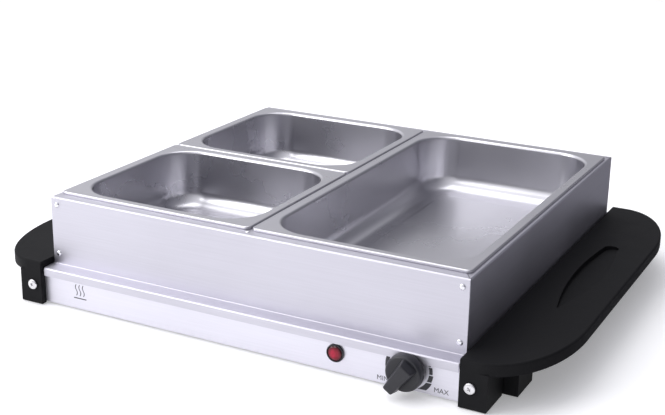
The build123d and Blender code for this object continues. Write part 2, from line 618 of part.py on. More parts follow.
def pan(x0, x1, y0, y1):
    """A pan whose rim runs between the given lines."""
    width = x1 - x0
    length = y1 - y0
    centre = Location(((x0 + x1) / 2, TRAY_Y + (y0 + y1) / 2))
    rim_top = FRAME_TOP + RIM_HEIGHT
    body_w = width - 2 * RIM_WIDTH
    body_l = length - 2 * RIM_WIDTH
    hole_w = body_w - 2 * PAN_SHEET
    hole_l = body_l - 2 * PAN_SHEET
    hole_corner = PAN_CORNER - PAN_SHEET
    add(tub(centre, body_w, body_l, PAN_CORNER, PAN_DEPTH, PAN_FOOT_RADIUS))
    cavity = tub(centre, hole_w, hole_l, hole_corner, PAN_DEPTH - PAN_SHEET, PAN_FOOT_RADIUS - PAN_SHEET)
    add(cavity, mode=Mode.SUBTRACT)
    with BuildSketch(Plane.XY.offset(rim_top - PAN_SHEET)) as rim:
        with Locations(centre):
            RectangleRounded(width, length, RIM_CORNER)
            RectangleRounded(hole_w, hole_l, hole_corner, mode=Mode.SUBTRACT)
    extrude(rim.sketch, amount=PAN_SHEET)
    with BuildSketch(Plane.XY.offset(FRAME_TOP)) as edge:
        with Locations(centre):
            RectangleRounded(width, length, RIM_CORNER)
            edge_w = width - 2 * PAN_SHEET
            edge_l = length - 2 * PAN_SHEET
            RectangleRounded(edge_w, edge_l, RIM_CORNER - PAN_SHEET, mode=Mode.SUBTRACT)
    extrude(edge.sketch, amount=RIM_HEIGHT)


with BuildPart() as large_pan:
    pan(RIM_GAP, RIM_X, -RIM_Y, RIM_Y)
write(large_pan, "large_pan")

with BuildPart() as front_small_pan:
    pan(-RIM_X, -RIM_GAP, -RIM_Y, -RIM_GAP)
write(front_small_pan, "front_small_pan")

with BuildPart() as rear_small_pan:
    pan(-RIM_X, -RIM_GAP, RIM_GAP, RIM_Y)
write(rear_small_pan, "rear_small_pan")
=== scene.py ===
import math

import bmesh
import bpy
from mathutils import Matrix, Vector


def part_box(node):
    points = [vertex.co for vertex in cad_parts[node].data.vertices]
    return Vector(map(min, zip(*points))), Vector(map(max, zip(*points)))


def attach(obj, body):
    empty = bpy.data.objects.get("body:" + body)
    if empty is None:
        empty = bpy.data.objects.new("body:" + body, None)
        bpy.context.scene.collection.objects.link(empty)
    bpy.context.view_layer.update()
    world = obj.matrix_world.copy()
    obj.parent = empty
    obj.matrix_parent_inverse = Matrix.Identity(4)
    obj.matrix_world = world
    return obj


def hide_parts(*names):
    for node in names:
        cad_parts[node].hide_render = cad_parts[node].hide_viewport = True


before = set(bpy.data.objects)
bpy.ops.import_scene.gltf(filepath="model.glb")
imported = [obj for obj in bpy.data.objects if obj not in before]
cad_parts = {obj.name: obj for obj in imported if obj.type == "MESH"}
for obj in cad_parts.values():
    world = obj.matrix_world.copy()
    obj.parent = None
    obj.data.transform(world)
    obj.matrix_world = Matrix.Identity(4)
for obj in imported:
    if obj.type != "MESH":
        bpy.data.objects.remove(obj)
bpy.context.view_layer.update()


# ----------------------------------------
# Studio: a large white table top lit from below, a soft key light at the front left, a broad light
# overhead and a dim side on the right, with the camera looking down from the front right.
def new_material(name):
    """An empty node material with its Principled shader; returns the material and the shader."""
    material = bpy.data.materials.new(name)
    material.use_nodes = True
    return material, material.node_tree.nodes["Principled BSDF"]


def add(name, data):
    """A new object in the scene."""
    made = bpy.data.objects.new(name, data)
    bpy.context.scene.collection.objects.link(made)
    return made


def flat_sheet(name, corners, height, material):
    """A level sheet of the studio."""
    mesh = bpy.data.meshes.new(name)
    mesh.from_pydata([(x, y, height) for x, y in corners], [], [tuple(range(len(corners)))])
    mesh.materials.append(material)
    return add(name, mesh)


def ranged(owner, source, low, high, from_low=0.3, from_high=0.7):
    """A value in a material or world brought into a range, for a socket that takes a number."""
    span = owner.node_tree.nodes.new("ShaderNodeMapRange")
    span.inputs["From Min"].default_value = from_low
    span.inputs["From Max"].default_value = from_high
    span.inputs["To Min"].default_value = low
    span.inputs["To Max"].default_value = high
    owner.node_tree.links.new(source, span.inputs["Value"])
    return span.outputs["Result"]


def tinted(owner, source, first, second):
    """A colour between two tones, by a value from 0 to 1."""
    blend = owner.node_tree.nodes.new("ShaderNodeMix")
    blend.data_type = "RGBA"
    blend.inputs["A"].default_value = (*first, 1)
    blend.inputs["B"].default_value = (*second, 1)
    owner.node_tree.links.new(source, blend.inputs["Factor"])
    return blend.outputs["Result"]


table_paper, paper = new_material("table_paper")
paper.inputs["Base Color"].default_value = (0.92, 0.92, 0.93, 1)
paper.inputs["Roughness"].default_value = 0.8
paper.inputs["Emission Color"].default_value = (1.0, 1.0, 1.0, 1)
paper.inputs["Emission Strength"].default_value = 0.25
FAR = 9.0
TABLE_CORNERS = ((-FAR, -FAR), (FAR, -FAR), (FAR, FAR), (-FAR, FAR))
table_top = flat_sheet("table_top", TABLE_CORNERS, 0, table_paper)

SKY_DIM = (0.22, 0.22, 0.25)
SKY_BRIGHT = (0.97, 0.97, 1.01)
SIDE_BLEND = 0.45  # the dim side turns into the bright one over this much to either side
BRIGHT_SIDE = (-0.75, -0.30, 0.0)  # towards the left and a little to the front
SKY_LOW = 0.72  # strength at the horizon
SKY_HIGH = 1.32  # strength overhead, reached where the direction's height is SKY_HIGH_FROM
SKY_HIGH_FROM = 0.7
room = bpy.data.worlds.new("studio_room")
bpy.context.scene.world = room
room.use_nodes = True
room_nodes = room.node_tree.nodes
room_links = room.node_tree.links
sky_direction = room_nodes.new("ShaderNodeTexCoord").outputs["Generated"]
sky_parts = room_nodes.new("ShaderNodeSeparateXYZ")
sky_facing = room_nodes.new("ShaderNodeVectorMath")
sky_facing.operation = "DOT_PRODUCT"
sky_facing.inputs[1].default_value = BRIGHT_SIDE
room_links.new(sky_direction, sky_parts.inputs["Vector"])
room_links.new(sky_direction, sky_facing.inputs[0])
sky_side = ranged(room, sky_facing.outputs["Value"], 0, 1, -SIDE_BLEND, SIDE_BLEND)
sky_strength = ranged(room, sky_parts.outputs["Z"], SKY_LOW, SKY_HIGH, 0, SKY_HIGH_FROM)
backdrop = room_nodes["Background"]
room_links.new(tinted(room, sky_side, SKY_DIM, SKY_BRIGHT), backdrop.inputs["Color"])
room_links.new(sky_strength, backdrop.inputs["Strength"])


def softbox(name, place, aim, width, height, power):
    """A rectangular studio light that faces a point."""
    light = bpy.data.lights.new(name, "AREA")
    light.shape = "RECTANGLE"
    light.size = width
    light.size_y = height
    light.energy = power
    lamp = add(name, light)
    lamp.location = place
    lamp.rotation_mode = "QUATERNION"
    lamp.rotation_quaternion = (Vector(aim) - Vector(place)).to_track_quat("-Z", "Y")


softbox("key_softbox", (-1.6, -1.5, 1.3), (0, 0, 0.05), 1.6, 1.2, 24)
softbox("top_softbox", (-0.5, 0.2, 2.0), (0, 0, 0.05), 1.6, 1.2, 12)

# A graded card laid on the table at the right, as studios use, white at its front edge and dark grey
# further back: only reflections and glossy edges see it.
CARD_WHITE = (0.80, 0.80, 0.82)
CARD_GREY = (0.22, 0.22, 0.24)
CARD_FRONT = -0.65
CARD_DARK_FROM = 0.0  # from here on the card is fully dark
CARD_LIFT = 0.0004
# The card's corners: it passes the right handle and reaches a little behind it.
CARD_CORNERS = ((0.31, CARD_FRONT), (1.4, CARD_FRONT), (1.4, 1.6), (0.22, 1.6), (0.22, 0.26), (0.31, 0.26))
card_surface, card_paper = new_material("card_paper")
card_nodes = card_surface.node_tree.nodes
card_links = card_surface.node_tree.links
card_place = card_nodes.new("ShaderNodeTexCoord")
card_parts = card_nodes.new("ShaderNodeSeparateXYZ")
card_links.new(card_place.outputs["Object"], card_parts.inputs["Vector"])
card_depth = ranged(card_surface, card_parts.outputs["Y"], 0, 1, CARD_FRONT, CARD_DARK_FROM)
card_links.new(tinted(card_surface, card_depth, CARD_WHITE, CARD_GREY), card_paper.inputs["Base Color"])
card_paper.inputs["Roughness"].default_value = 0.9
card = flat_sheet("dark_card", CARD_CORNERS, CARD_LIFT, card_surface)
card.visible_camera = False
card.visible_diffuse = False
card.visible_shadow = False

CAMERA_PLACE = (0.55605, -1.10099, 0.48852)
CAMERA_YAW = math.radians(27.39)
CAMERA_PITCH = math.radians(18.56)
CAMERA_ROLL = math.radians(0.92)
CAMERA_LENS = 67.87  # on a sensor 36 mm wide
camera_data = bpy.data.cameras.new("front_right_camera")
camera_data.sensor_width = 36.0
camera_data.lens = CAMERA_LENS
camera_data.clip_start = 0.05
camera = add("front_right_camera", camera_data)
camera.matrix_world = (
    Matrix.Translation(CAMERA_PLACE)
    @ Matrix.Rotation(CAMERA_YAW, 4, "Z")
    @ Matrix.Rotation(math.pi / 2 - CAMERA_PITCH, 4, "X")
    @ Matrix.Rotation(CAMERA_ROLL, 4, "Z")
)
bpy.context.scene.camera = camera
bpy.context.scene.view_settings.view_transform = "Standard"


# ----------------------------------------
# Tray cover: the hot plate and the control panel, one folded sheet of stainless steel with a
# long brushed grain from side to side, bent to a small radius along the edges of the plate.
def group_socket(tree, kind, name, direction, value=None):
    """One named input or output of a node group."""
    socket = tree.interface.new_socket(name, in_out=direction, socket_type=kind)
    if value is not None:
        socket.default_value = value
    return socket


LONG_GRAIN = (12.0, 700.0, 700.0)  # lines from side to side


def noise_group(name, inputs, textures):
    """Shader group of noise textures, each given as its output, scale input, detail and roughness.

    A texture that has the Stretch input in place of a scale is pulled out along each axis by it.
    """
    tree = bpy.data.node_groups.new(name, "ShaderNodeTree")
    group_socket(tree, "NodeSocketVector", "Place", "INPUT")
    for socket, value in inputs.items():
        kind = "NodeSocketVector" if socket == "Stretch" else "NodeSocketFloat"
        group_socket(tree, kind, socket, "INPUT", value)
    for output, *_ in textures:
        group_socket(tree, "NodeSocketFloat", output, "OUTPUT")
    start = tree.nodes.new("NodeGroupInput")
    end = tree.nodes.new("NodeGroupOutput")
    for output, scale, detail, roughness in textures:
        noise = tree.nodes.new("ShaderNodeTexNoise")
        noise.inputs["Detail"].default_value = detail
        noise.inputs["Roughness"].default_value = roughness
        if scale == "Stretch":
            stretched = tree.nodes.new("ShaderNodeVectorMath")
            stretched.operation = "MULTIPLY"
            noise.inputs["Scale"].default_value = 1.0
            tree.links.new(start.outputs["Place"], stretched.inputs[0])
            tree.links.new(start.outputs["Stretch"], stretched.inputs[1])
            tree.links.new(stretched.outputs["Vector"], noise.inputs["Vector"])
        else:
            tree.links.new(start.outputs["Place"], noise.inputs["Vector"])
            tree.links.new(start.outputs[scale], noise.inputs["Scale"])
        tree.links.new(noise.outputs["Fac"], end.inputs[output])
    return tree


# Fine lines along the rolling direction, and slow clouds over the whole sheet.
ROLLED_GRAIN = noise_group("rolled_grain", {"Stretch": LONG_GRAIN, "Cloud Scale": 9.0},
                           [("Grain", "Stretch", 4.0, 0.65), ("Cloud", "Cloud Scale", 2.0, 0.5)])
BOTH_TEXTURES = (0.7, 1.3)  # the range that grain and clouds keep to when added together
WAVE_DEPTH = 0.004
GRAIN_DEPTH = 0.0004


def place_group(material, tree):
    """A copy of a shared effect in a material, fed with Object coordinates."""
    nodes = material.node_tree.nodes
    effect = nodes.new("ShaderNodeGroup")
    effect.node_tree = tree
    place = nodes.new("ShaderNodeTexCoord")
    material.node_tree.links.new(place.outputs["Object"], effect.inputs["Place"])
    return effect


def raised(material, height, strength, distance, under=None):
    """A bump from a height, laid over another one if given."""
    bump = material.node_tree.nodes.new("ShaderNodeBump")
    bump.inputs["Strength"].default_value = strength
    bump.inputs["Distance"].default_value = distance
    material.node_tree.links.new(height, bump.inputs["Height"])
    if under is not None:
        material.node_tree.links.new(under, bump.inputs["Normal"])
    return bump.outputs["Normal"]


def sheet_steel(name, dark, light, roughness, stretch, cloud_scale, grain_bump, wave_bump):
    """Rolled or polished sheet metal: grain and slow clouds in its tone and gloss, and in its surface."""
    material, shader = new_material(name)
    links = material.node_tree.links
    grain = place_group(material, ROLLED_GRAIN)
    grain.inputs["Stretch"].default_value = stretch
    grain.inputs["Cloud Scale"].default_value = cloud_scale
    shader.inputs["Metallic"].default_value = 1.0
    mixed = material.node_tree.nodes.new("ShaderNodeMath")
    mixed.operation = "ADD"
    links.new(grain.outputs["Grain"], mixed.inputs[0])
    links.new(grain.outputs["Cloud"], mixed.inputs[1])
    tone = ranged(material, mixed.outputs["Value"], 0, 1, *BOTH_TEXTURES)
    gloss = ranged(material, mixed.outputs["Value"], *roughness, *BOTH_TEXTURES)
    links.new(tinted(material, tone, dark, light), shader.inputs["Base Color"])
    links.new(gloss, shader.inputs["Roughness"])
    if grain_bump:
        waves = raised(material, grain.outputs["Cloud"], wave_bump, WAVE_DEPTH)
        relief = raised(material, grain.outputs["Grain"], grain_bump, GRAIN_DEPTH, waves)
        links.new(relief, shader.inputs["Normal"])
    return material


brushed_cover_steel = sheet_steel("brushed_cover_steel", (0.69, 0.68, 0.745), (0.75, 0.74, 0.805),
                                  (0.42, 0.50), LONG_GRAIN, 7.0, 0.05, 0.006)


def mesh_from(bm, name):
    """A plain mesh from a bmesh, which is then freed."""
    mesh = bpy.data.meshes.new(name)
    bm.to_mesh(mesh)
    bm.free()
    return mesh


def join_rings(bm, rings):
    """Close a stack of rings of points: quads between neighbours, and a face over each end."""
    for lower, upper in zip(rings, rings[1:]):
        for k in range(len(lower)):
            after = (k + 1) % len(lower)
            bm.faces.new((lower[k], lower[after], upper[after], upper[k]))
    bm.faces.new(reversed(rings[0]))
    bm.faces.new(rings[-1])


def put(name, mesh, body, slot, material, *nodes, sharp=35.0):
    """Add a finished piece: shading, finish, body and the CAD nodes that it stands for. The slot is not used.
    """
    mesh.shade_smooth()
    mesh.set_sharp_from_angle(angle=math.radians(sharp))
    mesh.materials.clear()
    mesh.materials.append(material)
    piece = add(name, mesh)
    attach(piece, body)
    if nodes:
        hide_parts(*nodes)
    return piece


def even_normals(piece):
    """Keep large flat faces flat beside their rounded edges."""
    weighted = piece.modifiers.new("even_normals", "WEIGHTED_NORMAL")
    weighted.keep_sharp = True
    return piece


MERGE_DISTANCE = 2e-6


def cad_copy(node):
    """A merged copy of a CAD node with its flat faces joined up again."""
    bm = bmesh.new()
    bm.from_mesh(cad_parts[node].data)
    bmesh.ops.remove_doubles(bm, verts=bm.verts, dist=MERGE_DISTANCE)
    bmesh.ops.dissolve_limit(bm, angle_limit=math.radians(0.5), verts=bm.verts, edges=bm.edges)
    return bm


tray_low, tray_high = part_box("top_cover")
TRAY_Y = (tray_low.y + tray_high.y) / 2
COVER_BEND = 0.0016
LEVEL_TOLERANCE = 0.00001
PLATE_EDGE = 0.3  # only the long edges round the plate reach this length

cover = cad_copy("top_cover")
outer_bends = []
for edge in cover.edges:
    high = all(vert.co.z > tray_high.z - LEVEL_TOLERANCE for vert in edge.verts)
    if high and edge.calc_length() > PLATE_EDGE:
        outer_bends.append(edge)
bmesh.ops.bevel(cover, geom=outer_bends, offset=COVER_BEND, segments=5, profile=0.5, affect="EDGES")
even_normals(put("folded_tray_cover", mesh_from(cover, "folded_tray_cover"), "tray",
                 "brushed_cover_steel", brushed_cover_steel, "top_cover"))


# ----------------------------------------
# Panel print: heat mark at the left, scale round the dial and the two end marks, screen-printed
# in black enamel on the steel. Each print is a thin closed film on the panel.

# A fine moulded or matt texture, with broad handling marks over it.
FINE_GRAIN = noise_group("fine_grain", {"Grain Scale": 1800.0, "Mark Scale": 30.0},
                         [("Grain", "Grain Scale", 2.0, 0.5), ("Marks", "Mark Scale", 4.0, 0.6)])
PIT_DEPTH = 0.0002


def moulded(name, dark, light, roughness, grain_scale, mark_scale, bump, metallic=0.0):
    """A moulded, pressed or printed finish with a fine grain and faint handling marks."""
    material, shader = new_material(name)
    links = material.node_tree.links
    grain = place_group(material, FINE_GRAIN)
    grain.inputs["Grain Scale"].default_value = grain_scale
    grain.inputs["Mark Scale"].default_value = mark_scale
    shader.inputs["Metallic"].default_value = metallic
    links.new(tinted(material, ranged(material, grain.outputs["Marks"], 0, 1), dark, light),
              shader.inputs["Base Color"])
    links.new(ranged(material, grain.outputs["Marks"], *roughness), shader.inputs["Roughness"])
    links.new(raised(material, grain.outputs["Grain"], bump, PIT_DEPTH), shader.inputs["Normal"])
    return material


print_enamel = moulded("print_enamel", (0.022, 0.022, 0.028), (0.035, 0.035, 0.042), (0.35, 0.5),
                       900.0, 80.0, 0.05)
PRINT_THICK = 0.00006
PANEL_Y = tray_low.y
FACE_FRONT = math.pi / 2  # turns about X that make a piece built along +Z face the front or the rear
FACE_REAR = -math.pi / 2
spindle_low, spindle_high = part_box("thermostat_spindle")
DIAL_X = (spindle_low.x + spindle_high.x) / 2
DIAL_Z = (spindle_low.z + spindle_high.z) / 2


def settled_mesh(holder, *helpers):
    """The mesh of an object with its modifiers applied; it and its helpers are then removed."""
    bpy.context.view_layer.update()
    mesh = bpy.data.meshes.new_from_object(holder.evaluated_get(bpy.context.evaluated_depsgraph_get()))
    for part in (holder, *helpers):
        bpy.data.objects.remove(part)
    return mesh


def to_panel(mesh, x, y, z):
    """Turn a piece made along +Z to face the front, and place it."""
    mesh.transform(Matrix.Translation((x, y, z)) @ Matrix.Rotation(FACE_FRONT, 4, "X"))
    return mesh


def film(bm, outline):
    """A closed film on the panel over an outline of x and z, anticlockwise as seen from the front."""
    front = [bm.verts.new((x, PANEL_Y - PRINT_THICK, z)) for x, z in outline]
    back = [bm.verts.new((x, PANEL_Y + PRINT_THICK / 4, z)) for x, z in outline]
    join_rings(bm, [back, front])


def arc_points(centre, radius, start, end, steps):
    """Points on an arc in the panel's plane, angles in degrees from +X towards +Z."""
    points = []
    for k in range(steps + 1):
        angle = math.radians(start + (end - start) * k / steps)
        points.append((centre[0] + radius * math.cos(angle), centre[1] + radius * math.sin(angle)))
    return points


def ring_angle(radius, height):
    """Where a ring reaches a height above its centre, in degrees, kept just off its top and bottom."""
    most = 0.99 * radius
    return math.degrees(math.asin(max(-most, min(most, height)) / radius))


def scale_block(bm, low, high, outer, inner):
    """A block of the scale's ring between two level cuts, given as heights from the dial's centre."""
    outline = []
    for radius, bottom, top in ((outer, low, high), (inner, high, low)):
        first, last = ring_angle(radius, bottom), ring_angle(radius, top)
        outline += arc_points((DIAL_X, DIAL_Z), radius, first, last, 8)
    film(bm, outline)


# The scale: a plain band beside the lowest settings, then blocks that grow towards the highest.
prints = bmesh.new()
SCALE_INNER = 0.0187
BAND_OUTER = 0.0222
BAND_START, BAND_END = 139, 190
BAND_STEPS = 18
low_outer = arc_points((DIAL_X, DIAL_Z), BAND_OUTER, BAND_START, BAND_END, BAND_STEPS)
low_inner = arc_points((DIAL_X, DIAL_Z), SCALE_INNER, BAND_END, BAND_START, BAND_STEPS)
film(prints, low_outer + low_inner)
# Bottom, top and outer radius of each block.
SCALE_BLOCKS = [(0.0110, 0.0141, 0.0200), (0.0058, 0.0103, 0.0209), (-0.0014, 0.0050, 0.0218),
                (-0.0086, -0.0023, 0.0226), (-0.0168, -0.0095, 0.0234)]
for low, high, outer in SCALE_BLOCKS:
    scale_block(prints, low, high, outer, SCALE_INNER)

# The heat mark: three rising waves over a bar.
HEAT_X, HEAT_Z = -0.1778, 0.0205
WAVE_PITCH = 0.0042
WAVE_SWAY = 0.0010
WAVE_WIDTH = 0.0009
WAVE_HEIGHT = 0.0115
WAVE_STEPS = 16
BAR_HALF = 0.0075
BAR_HEIGHT = 0.0010
BAR_DROP = 0.0078
for wave in (-1, 0, 1):
    left = []
    right = []
    for k in range(WAVE_STEPS + 1):
        t = k / WAVE_STEPS
        x = HEAT_X + wave * WAVE_PITCH + WAVE_SWAY * math.sin(2 * math.pi * t)
        z = HEAT_Z + WAVE_HEIGHT * (t - 0.4)
        left.append((x - WAVE_WIDTH / 2, z))
        right.append((x + WAVE_WIDTH / 2, z))
    film(prints, right + left[::-1])
bar_z = HEAT_Z - BAR_DROP
bar_left, bar_right = HEAT_X - BAR_HALF, HEAT_X + BAR_HALF
film(prints, [(bar_left, bar_z), (bar_right, bar_z), (bar_right, bar_z + BAR_HEIGHT),
              (bar_left, bar_z + BAR_HEIGHT)])
put("panel_prints", mesh_from(prints, "panel_prints"), "tray", "knob_plastic", print_enamel)

MARK_HEIGHT = 0.0046
CAPITAL_SHARE = 0.72  # of the font's size
END_MARKS = (("MIN", 0.1420, 0.0050), ("MAX", 0.1953, 0.0058))  # with their lower left corners
for mark, x, z in END_MARKS:
    letters = bpy.data.curves.new("mark_" + mark.lower(), "FONT")
    letters.body = mark
    letters.size = MARK_HEIGHT / CAPITAL_SHARE
    letters.extrude = PRINT_THICK / 2
    letters.resolution_u = 3
    shape = to_panel(settled_mesh(add("mark_" + mark.lower(), letters)), x, PANEL_Y - PRINT_THICK / 2, z)
    put("printed_" + mark.lower(), shape, "tray", "knob_plastic", print_enamel)


# ----------------------------------------
# Handles: one moulding of heat-proof black plastic at each end, with a fine spark-eroded grain,
# a scooped finger recess on top and legs that carry the tray. Screwed on at the front and rear.
MATT_SPECULAR = 0.12  # spark-eroded plastic reflects less at grazing angles
handle_plastic = moulded("handle_plastic", (0.006, 0.006, 0.007), (0.010, 0.010, 0.011), (0.60, 0.70),
                         1500.0, 26.0, 0.22)
handle_shader = handle_plastic.node_tree.nodes["Principled BSDF"]
handle_shader.inputs["Specular IOR Level"].default_value = MATT_SPECULAR
HANDLE_EDGE = 0.0009
for end in ("left", "right"):
    name = end + "_handle_moulding"
    handle = put(name, mesh_from(cad_copy(end + "_handle"), name), "tray", "handle_plastic", handle_plastic,
                 end + "_handle", sharp=60.0)
    rounding = handle.modifiers.new("rounded_edges", "BEVEL")
    rounding.width = HANDLE_EDGE
    rounding.segments = 3
    rounding.limit_method = "ANGLE"
    rounding.angle_limit = math.radians(40.0)
    even_normals(handle)


# ----------------------------------------
# Handle screws and cover screws: plated pan heads with a cross recess, turned and stamped, driven
# through the legs of the handles and up through the base sheet.
def round_ring(bm, radius, height, count, shift=0.0):
    """A level ring of points about Z, turned by a share of one step."""
    turns = [2 * math.pi * (k + shift) / count for k in range(count)]
    return [bm.verts.new((radius * math.cos(a), radius * math.sin(a), height)) for a in turns]


def lathe(profile, steps, closed=False):
    """A turned shape about Z from radius and height pairs; a radius of 0 is a pole."""
    bm = bmesh.new()
    rings = []
    for radius, height in profile:
        if radius == 0:
            rings.append([bm.verts.new((0, 0, height))])
        else:
            rings.append(round_ring(bm, radius, height, steps))
    pairs = list(zip(rings, rings[1:]))
    if closed:
        pairs.append((rings[-1], rings[0]))
    for lower, upper in pairs:
        for k in range(steps):
            after = (k + 1) % steps
            corners = [lower[k % len(lower)], lower[after % len(lower)]]
            corners += [upper[after % len(upper)], upper[k % len(upper)]]
            bm.faces.new(list(dict.fromkeys(corners)))
    bmesh.ops.recalc_face_normals(bm, faces=bm.faces)
    return bm


SCREW_RADIUS = 0.0052
SCREW_HEIGHT = 0.0026
# The cross recess: reach and half width of an arm, how far it starts above the head and how deep it
# goes, and its size at the foot as a share of that at the top.
ARM = 0.0024
ARM_HALF = 0.00062
RECESS_START = 0.0010
RECESS_DEPTH = 0.0017
RECESS_TAPER = 0.45


def cross_screw():
    """A pan head that stands on z = 0, with its cross recess cut in."""
    corner = 0.0014
    profile = [(0, 0), (SCREW_RADIUS * 0.98, 0)]
    profile += arc_points((SCREW_RADIUS - corner, SCREW_HEIGHT - corner - 0.0003), corner, -10, 70, 5)
    profile += [(SCREW_RADIUS * 0.45, SCREW_HEIGHT - 0.00003), (0, SCREW_HEIGHT)]
    head = add("screw_head", mesh_from(lathe(profile, 40), "screw_head"))
    cutter = bmesh.new()
    arm = [(ARM_HALF, ARM_HALF), (ARM_HALF, ARM), (-ARM_HALF, ARM)]
    plus = []
    for _ in range(4):
        plus += arm
        arm = [(-y, x) for x, y in arm]
    rings = []
    for share, height in ((RECESS_TAPER, SCREW_HEIGHT - RECESS_DEPTH), (1.0, SCREW_HEIGHT + RECESS_START)):
        rings.append([cutter.verts.new((x * share, y * share, height)) for x, y in plus])
    join_rings(cutter, rings)
    bmesh.ops.recalc_face_normals(cutter, faces=cutter.faces)
    recess = add("screw_recess", mesh_from(cutter, "screw_recess"))
    cut = head.modifiers.new("cross_recess", "BOOLEAN")
    cut.operation = "DIFFERENCE"
    cut.object = recess
    cut.solver = "EXACT"
    return settled_mesh(head, recess)


def make_fastener_rows():
    """Geometry Nodes: a fastener at each point, turned as its point says and brought to size."""
    tree = bpy.data.node_groups.new("fastener_rows", "GeometryNodeTree")
    takes = (("Geometry", "Geometry"), ("Object", "Fastener"), ("Vector", "Size"), ("Material", "Finish"))
    for kind, name in takes:
        group_socket(tree, "NodeSocket" + kind, name, "INPUT")
    group_socket(tree, "NodeSocketGeometry", "Geometry", "OUTPUT")
    start = tree.nodes.new("NodeGroupInput")
    end = tree.nodes.new("NodeGroupOutput")
    source = tree.nodes.new("GeometryNodeObjectInfo")
    turn = tree.nodes.new("GeometryNodeInputNamedAttribute")
    turn.data_type = "FLOAT_VECTOR"
    turn.inputs["Name"].default_value = "turn"
    rotation = tree.nodes.new("FunctionNodeEulerToRotation")
    copies = tree.nodes.new("GeometryNodeInstanceOnPoints")
    real = tree.nodes.new("GeometryNodeRealizeInstances")
    finish = tree.nodes.new("GeometryNodeSetMaterial")
    wires = (
        (start, "Geometry", copies, "Points"), (start, "Fastener", source, "Object"),
        (source, "Geometry", copies, "Instance"), (turn, "Attribute", rotation, "Euler"),
        (rotation, "Rotation", copies, "Rotation"), (start, "Size", copies, "Scale"),
        (copies, "Instances", real, "Geometry"), (real, "Geometry", finish, "Geometry"),
        (start, "Finish", finish, "Material"), (finish, "Geometry", end, "Geometry"),
    )
    for giver, output, taker, socket in wires:
        tree.links.new(giver.outputs[output], taker.inputs[socket])
    return tree


FASTENER_ROWS = make_fastener_rows()


def fasteners(name, mesh, points, body, slot, material, *nodes, size=(1.0, 1.0, 1.0), sharp=35.0):
    """Copies of one mesh at (place, turn) points, joined into one piece."""
    source = add(name + "_pattern", mesh)
    spots = bpy.data.meshes.new(name + "_spots")
    spots.from_pydata([place for place, _ in points], [], [])
    turns = spots.attributes.new("turn", "FLOAT_VECTOR", "POINT")
    for k, (_, turn) in enumerate(points):
        turns.data[k].vector = turn
    holder = add(name + "_spots", spots)
    rows = holder.modifiers.new("rows", "NODES")
    rows.node_group = FASTENER_ROWS
    values = {"Fastener": source, "Size": size, "Finish": material}
    for item in FASTENER_ROWS.interface.items_tree:
        if item.in_out == "INPUT" and item.name in values:
            rows[item.identifier] = values[item.name]
    joined = settled_mesh(holder, source)
    return put(name, joined, body, slot, material, *nodes, sharp=sharp)


screw_steel = moulded("screw_steel", (0.62, 0.61, 0.62), (0.78, 0.77, 0.79), (0.2, 0.34),
                      1400.0, 160.0, 0.05, 1.0)
SCREW_TURNS = (0.35, 0.9, 0.1, 0.6)  # each screw stopped at its own angle
screw_low, screw_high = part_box("handle_screws")
SCREW_X = screw_high.x - SCREW_RADIUS
SCREW_Z = (screw_low.z + screw_high.z) / 2
screw_points = []
for k, (side, end) in enumerate(((-1, -1), (1, -1), (-1, 1), (1, 1))):
    y = screw_low.y + SCREW_HEIGHT if end < 0 else screw_high.y - SCREW_HEIGHT
    face = FACE_FRONT if end < 0 else FACE_REAR
    screw_points.append(((side * SCREW_X, y, SCREW_Z), (face, SCREW_TURNS[k], 0)))
head_pattern = cross_screw()
fasteners("handle_screw_heads", head_pattern.copy(), screw_points, "tray", "screw_steel", screw_steel,
          "handle_screws")

# The base sheet's screws are smaller and look down.
COVER_SCREW_SIZE = 0.575
COVER_SCREW_RADIUS = 0.0030
COVER_SCREW_HEIGHT = 0.0015
cover_low, cover_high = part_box("cover_screws")
cover_points = []
for x in (cover_low.x + COVER_SCREW_RADIUS, 0.0, cover_high.x - COVER_SCREW_RADIUS):
    for y in (cover_low.y + COVER_SCREW_RADIUS, cover_high.y - COVER_SCREW_RADIUS):
        place = (x, y, cover_low.z + COVER_SCREW_HEIGHT)
        cover_points.append((place, (math.pi, 0, 0.4 + 3 * x)))
fasteners("cover_screw_heads", head_pattern, cover_points, "tray", "screw_steel", screw_steel,
          "cover_screws", size=(COVER_SCREW_SIZE,) * 3)


# ----------------------------------------
# Pilot lamp: a clear red lens with cut facets, pressed into a black bezel in the panel.
lamp_low, lamp_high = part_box("lamp_bezel")
LAMP_X = (lamp_low.x + lamp_high.x) / 2
LAMP_Z = (lamp_low.z + lamp_high.z) / 2
BEZEL_RADIUS = 0.0084
LENS_RADIUS = 0.0073
knob_plastic = moulded("knob_plastic", (0.010, 0.010, 0.014), (0.018, 0.018, 0.024), (0.36, 0.46),
                       1700.0, 60.0, 0.12)

# The bezel's section runs up its outer side from behind the panel, over its rounded rim and down
# into the seat of the lens.
BEZEL_HEIGHT = 0.0022
BEZEL_REAR = -0.0140
BARREL_RADIUS = 0.0065
BORE_RADIUS = 0.0054
SEAT_RADIUS = 0.00735
LENS_SEAT = 0.0010
RIM_BEND = 0.0006
bezel_profile = [(BARREL_RADIUS, BEZEL_REAR), (BARREL_RADIUS, 0.0), (BEZEL_RADIUS, 0.0)]
bezel_profile += [(BEZEL_RADIUS, 0.0012)]
bezel_profile += arc_points((BEZEL_RADIUS - RIM_BEND, BEZEL_HEIGHT - RIM_BEND), RIM_BEND, 15, 90, 4)
bezel_profile += [(0.0075, BEZEL_HEIGHT - 0.0001), (SEAT_RADIUS, 0.0018), (SEAT_RADIUS, LENS_SEAT)]
bezel_profile += [(BORE_RADIUS, LENS_SEAT), (BORE_RADIUS, BEZEL_REAR)]
bezel = mesh_from(lathe(bezel_profile, 48, closed=True), "lamp_bezel_ring")
